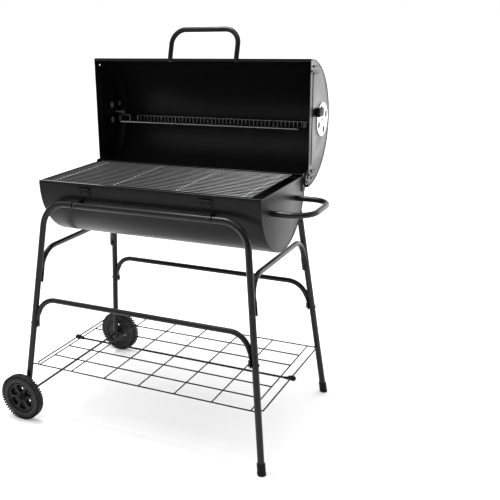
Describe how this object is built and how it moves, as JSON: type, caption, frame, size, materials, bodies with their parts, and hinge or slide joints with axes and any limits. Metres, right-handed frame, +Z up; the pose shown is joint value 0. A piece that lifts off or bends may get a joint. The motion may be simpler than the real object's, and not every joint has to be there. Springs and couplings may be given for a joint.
{
  "type": "barrel charcoal grill",
  "caption": "Half-barrel charcoal grill on a tubular stand, with a hinged lid shown open, a swinging warming rack, end vents, a wire shelf, a side handle and wheels.",
  "frame": {"origin": "on the floor, under the middle of the grill's extent with its lid open", "axes": "+X along the barrel, from the wheels to the side handle; +Y from the cook to the hinge of the lid; +Z up"},
  "size_m": [0.9388, 0.6764, 1.1662],
  "materials": {
    "black_paint": "satin black paint on steel",
    "zinc_bolt": "zinc-plated steel",
    "galvanised_sheet": "bright galvanised steel",
    "chromed_wire": "chromed steel wire",
    "black_wire": "black coated steel wire",
    "black_plastic": "moulded black plastic",
    "wheel_plastic": "moulded dark grey plastic"
  },
  "bodies": {
    "stand": {"bowl_shell": "black_paint", "bowl_end_left": "black_paint", "bowl_end_right": "black_paint", "lid_rest_left": "black_paint", "lid_rest_right": "black_paint", "grate_ledge_front": "black_paint", "grate_ledge_rear": "black_paint", "side_handle": "black_paint", "hinge_plate_bowl_left": "black_paint", "hinge_plate_bowl_right": "black_paint", "hinge_bolt_left": "zinc_bolt", "hinge_bolt_right": "zinc_bolt", "leg_front_left": "black_paint", "leg_front_right": "black_paint", "leg_rear_left": "black_paint", "leg_rear_right": "black_paint", "top_rail_front": "black_paint", "top_rail_rear": "black_paint", "bowl_spacer_front_left": "black_paint", "bowl_spacer_front_right": "black_paint", "bowl_spacer_rear_left": "black_paint", "bowl_spacer_rear_right": "black_paint", "long_arch_front": "black_paint", "long_arch_rear": "black_paint", "side_arch_left": "black_paint", "side_arch_right": "black_paint", "wing_nut_long_front_left": "black_paint", "wing_nut_long_front_right": "black_paint", "wing_nut_long_rear_left": "black_paint", "wing_nut_long_rear_right": "black_paint", "wing_nut_side_front_left": "black_paint", "wing_nut_side_front_right": "black_paint", "wing_nut_side_rear_left": "black_paint", "wing_nut_side_rear_right": "black_paint", "foot_cap_front": "black_plastic", "foot_cap_rear": "black_plastic", "axle": "black_paint", "axle_cap_front": "black_plastic", "axle_cap_rear": "black_plastic", "shelf_grid": "black_wire", "shelf_rod": "black_wire", "shelf_saddle_left": "black_plastic", "shelf_saddle_right": "black_plastic"},
    "lid": {"lid_shell": "black_paint", "lid_end_left": "black_paint", "lid_end_right": "black_paint", "lid_handle": "black_paint", "hinge_plate_lid_left": "black_paint", "hinge_plate_lid_right": "black_paint", "vent_bolt_left": "zinc_bolt", "vent_bolt_right": "zinc_bolt"},
    "left_damper": {"damper_left": "galvanised_sheet", "damper_tab_left": "black_plastic"},
    "right_damper": {"damper_right": "galvanised_sheet", "damper_tab_right": "black_plastic"},
    "rack": {"warming_rack": "chromed_wire"},
    "front_wheel": {"wheel_front": "wheel_plastic"},
    "rear_wheel": {"wheel_rear": "wheel_plastic"},
    "cooking_surface": {"cooking_grate": "chromed_wire"},
    "coal_bed": {"charcoal_grate": "black_wire"}
  },
  "joints": [
    {"name": "lid_hinge", "type": "hinge", "parent": "stand", "child": "lid", "pos_m": [-0.00141, 0.14445, 0.72425], "axis": [1, 0, 0], "range_deg": [0, 90]},
    {"name": "rack_swing", "type": "hinge", "parent": "lid", "child": "rack", "pos_m": [-0.00141, 0.2712, 0.891], "axis": [1, 0, 0], "range_deg": [-90, 0]},
    {"name": "left_damper_turn", "type": "hinge", "parent": "lid", "child": "left_damper", "pos_m": [-0.36541, 0.2712, 0.891], "axis": [1, 0, 0], "range_deg": [-42, 3]},
    {"name": "right_damper_turn", "type": "hinge", "parent": "lid", "child": "right_damper", "pos_m": [0.36259, 0.2712, 0.891], "axis": [1, 0, 0], "range_deg": [-22, 23]},
    {"name": "front_wheel_spin", "type": "hinge", "parent": "stand", "child": "front_wheel", "pos_m": [-0.39538, -0.3169, 0.074], "axis": [0, 1, 0], "continuous": true},
    {"name": "rear_wheel_spin", "type": "hinge", "parent": "stand", "child": "rear_wheel", "pos_m": [-0.39538, 0.27231, 0.074], "axis": [0, 1, 0], "continuous": true},
    {"name": "cooking_grate_lift", "type": "slide", "parent": "stand", "child": "cooking_surface", "axis": [0, 0, 1], "range_m": [0, 0.05]},
    {"name": "charcoal_grate_lift", "type": "slide", "parent": "stand", "child": "coal_bed", "axis": [0, 0, 1], "range_m": [0, 0.04]}
  ],
  "couplings": [
    {"joint": "rack_swing", "follows": "lid_hinge", "ratio": -1}
  ]
}
